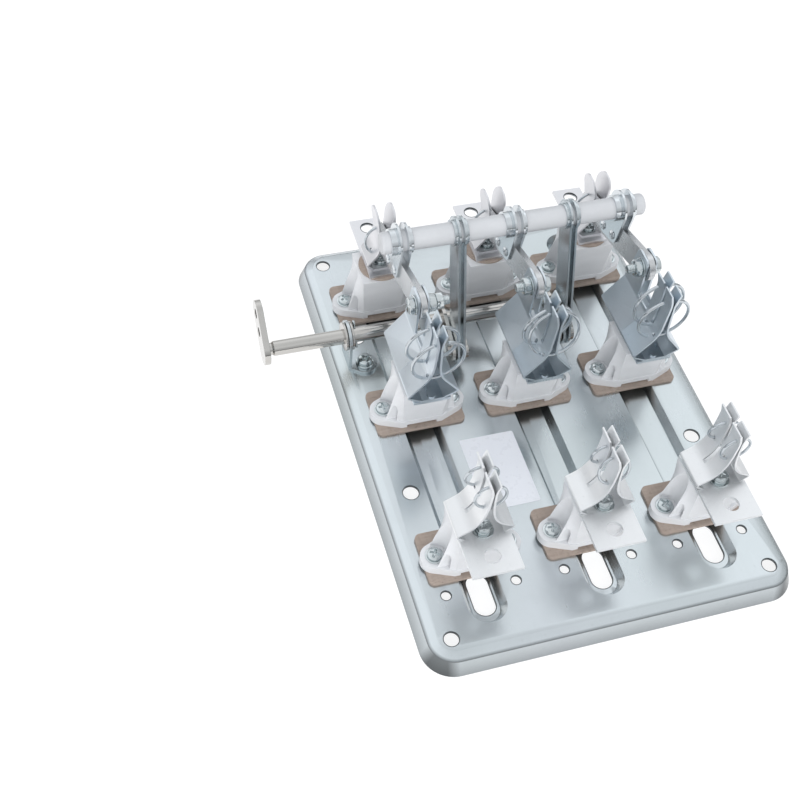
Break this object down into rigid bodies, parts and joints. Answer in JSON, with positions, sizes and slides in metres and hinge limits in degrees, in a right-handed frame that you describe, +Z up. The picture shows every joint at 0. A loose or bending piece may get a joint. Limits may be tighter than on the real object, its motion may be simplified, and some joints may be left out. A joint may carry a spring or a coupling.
{
  "type": "fuse disconnector",
  "caption": "Open knife-blade fuse disconnector on a pressed steel tray, with moulded posts, sprung fuse clips and a linked drive shaft.",
  "frame": {"origin": "middle of the tray's four corner holes, in the plane its rim rests on", "axes": "+X along the drive shaft to the right, +Y from the fuse outlets to the supply strips, +Z up out of the tray"},
  "size_m": [0.285, 0.335, 0.121],
  "materials": {
    "galvanised_sheet": "zinc-plated pressed sheet, satin",
    "pressboard": "matt brown pressboard",
    "moulded_insulator": "light grey moulded resin",
    "tinned_copper": "matt tinned copper",
    "plated_spring_clip": "bright zinc-plated spring strip",
    "plated_knife": "tinned copper strip",
    "insulating_rod": "light grey moulded rod",
    "spring_wire": "bright plated spring wire",
    "bright_steel": "nickel-bright steel",
    "zinc_plate": "zinc-plated steel",
    "zinc_fasteners": "blue zinc plating"
  },
  "bodies": {
    "base": {"base_tray": "galvanised_sheet", "outlet_pads": "pressboard", "outlet_insulators": "moulded_insulator", "outlet_post_screws": "zinc_fasteners", "inlet_pads": "pressboard", "inlet_insulators": "moulded_insulator", "inlet_post_screws": "zinc_fasteners", "supply_pads": "pressboard", "supply_insulators": "moulded_insulator", "supply_post_screws": "zinc_fasteners", "outlet_terminals": "tinned_copper", "outlet_clips": "tinned_copper", "outlet_screws": "zinc_fasteners", "outlet_spring_rings": "spring_wire", "inlet_strips": "plated_spring_clip", "inlet_clips": "plated_spring_clip", "inlet_screws": "zinc_fasteners", "inlet_spring_rings": "spring_wire", "hinge_bolts": "zinc_fasteners", "supply_discs": "pressboard", "supply_terminals": "tinned_copper", "supply_jaws": "plated_spring_clip", "supply_screws": "zinc_fasteners", "supply_spring_rings": "spring_wire", "left_bearing": "zinc_plate", "right_bearing": "zinc_plate", "bearing_bolts": "zinc_fasteners"},
    "knives": {"left_knife": "plated_knife", "middle_knife": "plated_knife", "right_knife": "plated_knife", "rod_clamps": "plated_knife", "clamp_rivets": "zinc_fasteners", "insulating_rod": "insulating_rod"},
    "links": {"left_link_plates": "zinc_plate", "right_link_plates": "zinc_plate"},
    "shaft": {"drive_shaft": "bright_steel", "left_crank": "bright_steel", "right_crank": "bright_steel", "drive_lever": "bright_steel", "shaft_washers": "zinc_fasteners"}
  },
  "joints": [
    {"name": "knives_swing", "type": "hinge", "parent": "base", "child": "knives", "pos_m": [0, 0.0283, 0.1], "axis": [1, 0, 0], "range_deg": [0, 40]},
    {"name": "links_swing", "type": "hinge", "parent": "knives", "child": "links", "pos_m": [0, 0.0733, 0.1095], "axis": [1, 0, 0], "range_deg": [-26, 0]},
    {"name": "shaft_turn", "type": "hinge", "parent": "base", "child": "shaft", "pos_m": [0, 0.0655, 0.036], "axis": [1, 0, 0], "range_deg": [-60, 0]}
  ],
  "couplings": [
    {"joint": "links_swing", "follows": "knives_swing", "ratio": -0.64501},
    {"joint": "shaft_turn", "follows": "knives_swing", "ratio": -1.4984}
  ]
}
